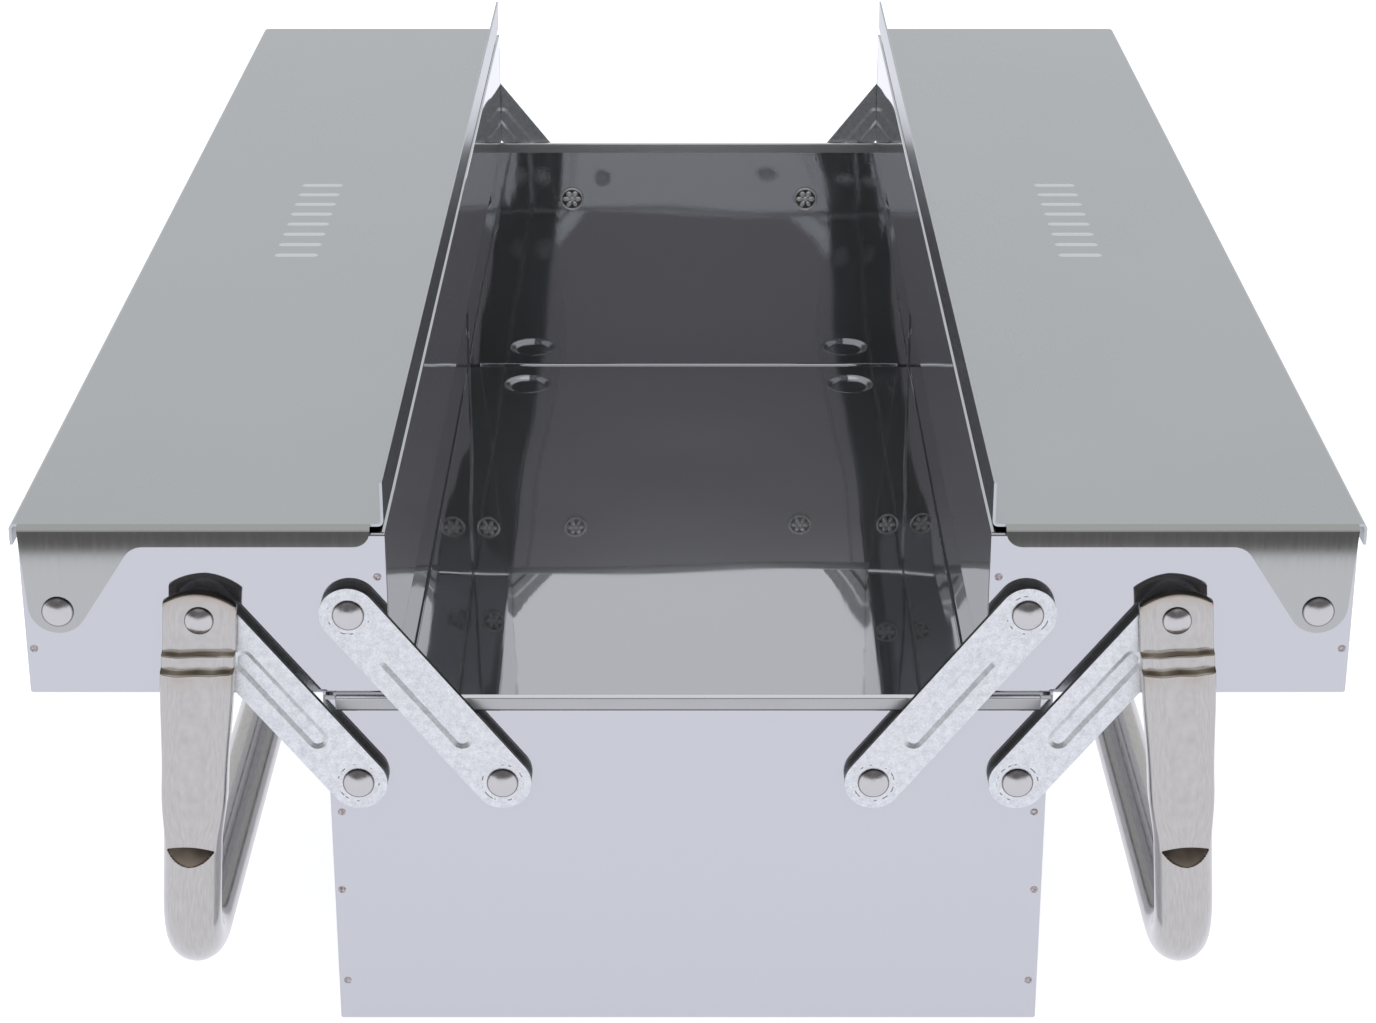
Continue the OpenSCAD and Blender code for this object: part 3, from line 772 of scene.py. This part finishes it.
def hoop(tree, radius, thickness, steps):
    # A ring of round section; steps: round it, round its section
    circle, section = (
        addNode(tree, "GeometryNodeCurvePrimitiveCircle", Resolution=n, Radius=r).outputs[0]
        for n, r in zip(steps, (radius, thickness)))
    return addNode(tree, "GeometryNodeCurveToMesh", Curve=circle,
                   Profile_Curve=section).outputs[0]


# Rivets: domed head, shank and closed end, in place of the plain CAD ones
rivet = dict(
    headR=4.35, handleHeadR=3.95, headH=1.6, sideH=0.3, shankR=2.5, tailR=5.2, tailH=0.5,
    armSeat=3.5,                  # how far from the wall the head sits on an arm
    traySeats=(3.5, 6.6, 1.2),    # and on each of a tray's pins
    sides=40, rings=9, domePower=0.9,
    headPaintedShade=(0.80, 0.99),       # where the painted shade at the head's foot starts and is full
    # how much painted shade darkens the tail under the clenched end
    tailPaintedShade=0.75,
)
# Where the rivets are: node, body, places (x, z, seat, layers of sheet), ends of the box
rivetRows = [(f"base_rivets_{end}", "base",
              [(k * x, z, rivet["armSeat"], n) for k in (-1, 1) for x, z, n in box["basePins"]],
              (way,))
             for end, way in (("front", -1), ("rear", 1))]
for side, way in sides:
    for part, seat, (x, z, n) in zip(("tray", "handle", "lid"), rivet["traySeats"],
                                     box["trayPins"]):
        rivetRows.append((f"{side}_{part}_rivets", f"{side}_tray", [(way * x, z, seat, n)],
                          (-1, 1)))


def rivetTree(sizes):
    tree, given = newTree("domedRivet", sizes)

    def drum(radius, height, **values):
        return addNode(tree, "GeometryNodeMeshCylinder", Vertices=rivet["sides"],
                       Radius=radius, Depth=height, **values).outputs[0]

    def withPaintedShade(shape, amount):
        # Stores how much painted shade the shape has, a number or a socket
        return addNode(tree, "GeometryNodeStoreNamedAttribute", data_type="FLOAT",
                       domain="POINT", Geometry=shape, Name="paintedShade", Value=amount).outputs[0]

    side, headR = given["Side Height"], given["Head Radius"]
    x, y, z = axesOf(tree, tree.nodes.new("GeometryNodeInputPosition").outputs[0])
    squared = maths(tree, "ADD", maths(tree, "MULTIPLY", x, x), maths(tree, "MULTIPLY", y, y))
    share = maths(tree, "DIVIDE", squared, maths(tree, "MULTIPLY", headR, headR))
    fall = maths(tree, "POWER", share, rivet["domePower"])
    rise = maths(tree, "MULTIPLY", maths(tree, "SUBTRACT", 1.0, fall), given["Dome Height"])
    upper = addNode(tree, "FunctionNodeCompare", data_type="FLOAT", operation="GREATER_THAN",
                    A=z, B=0.0)
    flatHead = withPaintedShade(drum(headR, side, Fill_Segments=rivet["rings"]),
                      spread(tree, share, 0, 1, *rivet["headPaintedShade"]))
    dome = addNode(tree, "GeometryNodeSetPosition", Geometry=flatHead,
                   Selection=upper.outputs[0], Offset=vectorOf(tree, Z=rise))
    length, tailHigh = given["Shank Length"], given["Tail Height"]
    tailMiddle = maths(tree, "SUBTRACT", maths(tree, "MULTIPLY", tailHigh, -0.5), length)
    head = placed(tree, dome.outputs[0], up=maths(tree, "MULTIPLY", side, 0.5))
    shank = placed(tree, drum(given["Shank Radius"], length),
                   up=maths(tree, "MULTIPLY", length, -0.5))
    tail = placed(tree, drum(given["Tail Radius"], tailHigh), up=tailMiddle)
    whole = joined(tree, head, shank, withPaintedShade(tail, rivet["tailPaintedShade"]))
    onPoints(tree, given, whole, metals["rivet_steel"])
    return tree


def rivetSizes(headR, length):
    domeH = rivet["headH"] - rivet["sideH"]
    return inMetres(dict(rivet, headR=headR, domeH=domeH, length=length),
                    Head_Radius="headR", Side_Height="sideH", Dome_Height="domeH",
                    Shank_Radius="shankR", Shank_Length="length",
                    Tail_Radius="tailR", Tail_Height="tailH")


def makeRivets():
    tree = rivetTree(rivetSizes(rivet["headR"], box["sheet"]))
    for node, body, spots, ends in rivetRows:
        byLength = {}
        for x, z, seat, layers in spots:
            for end in ends:
                point = ((x, end * (box["wallY"] + seat), z), (0, end, 0))
                byLength.setdefault(round(seat + layers * box["sheet"], 3), []).append(point)
        headR = rivet["handleHeadR"] if "handle" in node else rivet["headR"]
        for i, (length, points) in enumerate(sorted(byLength.items())):
            name = "domed_" + node + (f"_{i + 1}" if len(byLength) > 1 else "")
            sizes = rivetSizes(headR, length)
            piece = growOnPoints(name, points, tree, sizes, body)
            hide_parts(node)


makeRivets()
print("rivets made")


# Closed rivet ends inside the pans: a rim in the sheet round a star of petals
clench = dict(
    ringR=4.75, ringT=0.45, ringSteps=(28, 8), tailUp=0.5,
    petals=6, petalAt=2.55, petalR=1.35, petalShape=(1.15, 0.8, 0.5),
    smallest=(0.72, 0.75, 0.8), largest=(1.12, 1.2, 1.3), seed=11,
    bossR=1.2, bossShape=(1, 1, 0.42),
)
clenchSizes = inMetres(clench, Ring_Radius="ringR", Ring_Thickness="ringT",
                       Petal_Place="petalAt", Petal_Radius="petalR", Boss_Radius="bossR")
clenchSizes["Petals"] = clench["petals"]


def clenchTree():
    tree, given = newTree("clenchedEnd", clenchSizes)
    ring = hoop(tree, given["Ring Radius"], given["Ring Thickness"], clench["ringSteps"])
    ball, boss = (
        addNode(tree, "GeometryNodeMeshIcoSphere", Subdivisions=2, Radius=given[name]).outputs[0]
        for name in ("Petal Radius", "Boss Radius"))
    spots = addNode(tree, "GeometryNodeMeshCircle", Vertices=given["Petals"],
                    Radius=given["Petal Place"])
    # Petals differ a little in size, and each points out from the middle
    size = addNode(tree, "FunctionNodeRandomValue", data_type="FLOAT_VECTOR",
                   Seed=clench["seed"])
    size.inputs[0].default_value = clench["smallest"]
    size.inputs[1].default_value = clench["largest"]
    spin = addNode(tree, "FunctionNodeAlignRotationToVector", axis="X",
                   Vector=tree.nodes.new("GeometryNodeInputPosition").outputs[0])
    petals = addNode(tree, "GeometryNodeInstanceOnPoints", Points=spots.outputs[0],
                     Instance=placed(tree, ball, scale=clench["petalShape"]),
                     Scale=size.outputs[0], Rotation=spin.outputs[0])
    whole = joined(tree, ring, petals.outputs[0], placed(tree, boss, scale=clench["bossShape"]))
    onPoints(tree, given, whole, metals["clenched_steel"])
    return tree


def clenchPoints(rows):
    # rows: (x, z, layers of sheet); on both end walls, facing into the pan
    points = []
    for x, z, layers in rows:
        depth = box["wallY"] - layers * box["sheet"] - clench["tailUp"]
        for end in (-1, 1):
            points.append(((x, end * depth, z), (0, -end, 0)))
    return points


clenched = clenchTree()
basePins = [(k * x, z, n) for k in (-1, 1) for x, z, n in box["basePins"]]
growOnPoints("baseClenchedEnds", clenchPoints(basePins), clenched, clenchSizes, "base")
for side, way in sides:
    trayPins = [(way * x, z, n) for x, z, n in box["trayPins"]]
    growOnPoints(f"{side}TrayClenchedEnds", clenchPoints(trayPins), clenched, clenchSizes,
                 f"{side}_tray")
print("clenched rivet ends made")


# Rim of the base: the hem's rolled edge, one straight length a wall
rim = dict(
    top=107.0, height=4.3, inside=1.15, outside=1.15, halfW=100.0,
    endGap=2.6,                   # short of the corner
    endDraw=(0.5, 0.6),           # an end is drawn in over this length, to this share
    steps=40, fullness=4.5,
    paintedShadeDepth=0.6, polishAndHighlightDepth=0.5,    # painted shade up from the bottom; polish and painted highlight down from the top
)


def rimOutline():
    # Points (out from the wall's outer face, height), anticlockwise seen along the wall
    half = (rim["inside"] + rim["outside"]) / 2
    tall = rim["height"] / 2
    power = 2 / rim["fullness"]
    points = []
    for i in range(rim["steps"]):
        a = 2 * math.pi * i / rim["steps"]
        c, q = math.cos(a), math.sin(a)
        points.append((rim["outside"] - half + half * math.copysign(abs(c) ** power, c),
                       rim["top"] - tall + tall * math.copysign(abs(q) ** power, q)))
    return points


def makeRim():
    mesh = bmesh.new()
    for layer in ("paintedShade", "polishAndHighlight"):
        mesh.verts.layers.float.new(layer)
    paintedShade, polishAndHighlight = (mesh.verts.layers.float[layer] for layer in ("paintedShade", "polishAndHighlight"))
    paintedShadeTop = rim["top"] - rim["height"] + rim["paintedShadeDepth"]
    polishAndHighlightFrom = rim["top"] - rim["polishAndHighlightDepth"]
    run, draw = rim["endDraw"]
    for k in (-1, 1):
        for wall, away, reach in (("end", box["wallY"], rim["halfW"] - rim["endGap"]),
                                  ("side", rim["halfW"], box["wallY"] - rim["endGap"])):
            rings = []
            for at, share in ((-reach, draw), (run - reach, 1), (reach - run, 1), (reach, draw)):
                ring = []
                for out, z in rimOutline():
                    off = k * (away + out * share)
                    spot = (at, off, z) if wall == "end" else (off, at, z)
                    vert = mesh.verts.new([c * mm for c in spot])
                    # Painted shade darkens the hem's outer face near its bottom; along the top,
                    # polish and a painted highlight
                    vert[paintedShade] = 1.0 if z < paintedShadeTop and out > 0 else 0.0
                    vert[polishAndHighlight] = 1.0 if z > polishAndHighlightFrom else 0.0
                    ring.append(vert)
                rings.append(ring)
            skinRings(mesh, rings)
    obj = finishPiece("baseRim", mesh, "rim_steel")
    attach(obj, "base")


makeRim()
print("rim made")


# Spot welds on the end walls over the corner tabs
weld = dict(
    radius=0.85, height=0.10, rim=0.25, sides=20, ringSteps=(20, 6), ringShape=(1, 1, 0.4),
    # Places on a wall: x, z
    base=((97.0, 70.2), (98.0, 45.0), (97.6, 14.9)), tray=((84.3, 143.3), (179.2, 121.5)),
    color=(0.42, 0.38, 0.37), dark=(0.16, 0.11, 0.10), light=(0.62, 0.58, 0.58),
    rough=0.34, mottle=1400, mottleBump=(0.0001, 0.4),
)
weldSizes = inMetres(weld, Radius="radius", Height="height", Rim="rim")


def weldSteel():
    mat, tree, shader = newMetal("weldSteel", weld["color"])
    mottled = pattern(tree, weld["mottle"])
    tone = mixColor(tree, spread(tree, mottled, 0, 1), weld["dark"], weld["light"])
    setUp(tree, shader, Roughness=weld["rough"], Base_Color=tone)
    bumps(tree, shader, (mottled, *weld["mottleBump"]))
    return mat


def weldTree():
    tree, given = newTree("spotWeld", weldSizes)
    disc = addNode(tree, "GeometryNodeMeshCylinder", Vertices=weld["sides"],
                   Radius=given["Radius"], Depth=given["Height"])
    ring = hoop(tree, given["Radius"], given["Rim"], weld["ringSteps"])
    whole = joined(tree, disc.outputs[0], placed(tree, ring, scale=weld["ringShape"]))
    onPoints(tree, given, whole, weldSteel())
    return tree


welds = weldTree()
baseWelds = [((k * x, end * box["wallY"], z), (0, end, 0))
             for k in (-1, 1) for end in (-1, 1) for x, z in weld["base"]]
growOnPoints("baseSpotWelds", baseWelds, welds, weldSizes, "base")
for side, way in sides:
    trayWelds = [((way * x, end * box["wallY"], z), (0, end, 0))
                 for end in (-1, 1) for x, z in weld["tray"]]
    growOnPoints(f"{side}TraySpotWelds", trayWelds, welds, weldSizes, f"{side}_tray")
print("spot welds made")


# Feet: smooth round dishes over the pressed feet in the base's floor
foot = dict(
    x=71.5, y=227.0, floorTop=2.3, radius=10.9, rimR=10.3, flatR=7.2, drop=1.5,
    lift=0.05,                    # over the sheet, so that the two don't fight
    shell=0.3, steps=(72, 24),
    lip=0.35, lipSteps=(40, 8), lipShape=(1, 1, 0.6),
)
footSizes = inMetres(foot, Radius="radius", Rim_Radius="rimR", Flat_Radius="flatR",
                     Drop="drop", Shell="shell", Lip="lip")


def footTree():
    tree, given = newTree("pressedFoot", footSizes)
    disc = addNode(tree, "GeometryNodeMeshCylinder", fill_type="TRIANGLE_FAN",
                   Vertices=foot["steps"][0], Fill_Segments=foot["steps"][1],
                   Radius=given["Radius"], Depth=given["Shell"])
    spot = tree.nodes.new("GeometryNodeInputPosition").outputs[0]
    flat = fed(tree, "ShaderNodeVectorMath", spot, (1, 1, 0), operation="MULTIPLY")
    away = addNode(tree, "ShaderNodeVectorMath", operation="LENGTH", Vector=flat)
    slope = addNode(tree, "ShaderNodeMapRange", interpolation_type="SMOOTHSTEP",
                    Value=away.outputs["Value"], From_Min=given["Flat Radius"],
                    From_Max=given["Rim Radius"], To_Min=-1.0, To_Max=0.0)
    down = maths(tree, "MULTIPLY", slope.outputs[0], given["Drop"])
    dish = addNode(tree, "GeometryNodeSetPosition", Geometry=disc.outputs["Mesh"],
                   Offset=vectorOf(tree, Z=down))
    # The lip round the pressing catches the light all the way round
    lip = hoop(tree, given["Rim Radius"], given["Lip"], foot["lipSteps"])
    whole = joined(tree, dish.outputs[0], placed(tree, lip, scale=foot["lipShape"]))
    onPoints(tree, given, whole, metals["mirror_steel"])
    return tree


footZ = foot["floorTop"] + foot["lift"] - foot["shell"] / 2
feet = [((i * foot["x"], j * foot["y"], footZ), (0, 0, 1)) for i in (-1, 1) for j in (-1, 1)]
growOnPoints("baseFootDishes", feet, footTree(), footSizes, "base")
print("foot dishes made")


# Lids: a row of plain pressed bars in the middle
emboss = dict(
    x=132.8, z=158.9, sunk=0.17, count=8, pitch=10.6, barLong=15.0, barWide=3.6, rise=0.45,
    steps=16,
    highlightGain=1.45,                    # painted highlight: how much brighter than the lid's sheet
)
embossSizes = inMetres(emboss, Length="barLong", Width="barWide", Rise="rise")


def embossTree():
    # A rod with round ends, squashed to the height of the pressing
    tree, given = newTree("pressedBar", embossSizes)
    straight = maths(tree, "SUBTRACT", given["Length"], given["Width"])
    half = maths(tree, "MULTIPLY", straight, 0.5)
    radius = maths(tree, "MULTIPLY", given["Width"], 0.5)
    line = addNode(tree, "GeometryNodeCurvePrimitiveLine", End=vectorOf(tree, X=half),
                   Start=vectorOf(tree, X=maths(tree, "MULTIPLY", half, -1))).outputs[0]
    section = addNode(tree, "GeometryNodeCurvePrimitiveCircle", Resolution=emboss["steps"],
                      Radius=radius)
    rod = addNode(tree, "GeometryNodeCurveToMesh", Curve=line, Profile_Curve=section.outputs[0])
    ball = addNode(tree, "GeometryNodeMeshUVSphere", Segments=emboss["steps"],
                   Rings=emboss["steps"] // 2, Radius=radius)
    ends = addNode(tree, "GeometryNodeInstanceOnPoints", Points=line, Instance=ball.outputs[0])
    squash = vectorOf(tree, X=1, Y=1, Z=maths(tree, "DIVIDE", given["Rise"], radius))
    whole = placed(tree, joined(tree, rod.outputs[0], ends.outputs[0]), scale=squash)
    # The bars take a brighter copy of the lid's finish, a painted highlight
    onPoints(tree, given, whole, satinSteel("embossHighlightSteel", emboss["highlightGain"]))
    return tree


bars = embossTree()
barZ = emboss["z"] - emboss["sunk"]
barYs = evenly(-(emboss["count"] - 1) / 2 * emboss["pitch"], emboss["pitch"], emboss["count"])
for side, way in sides:
    row = [((way * emboss["x"], y, barZ), (0, 0, 1)) for y in barYs]
    growOnPoints(f"{side}LidBars", row, bars, embossSizes, f"{side}_lid")
print("lid bars made")
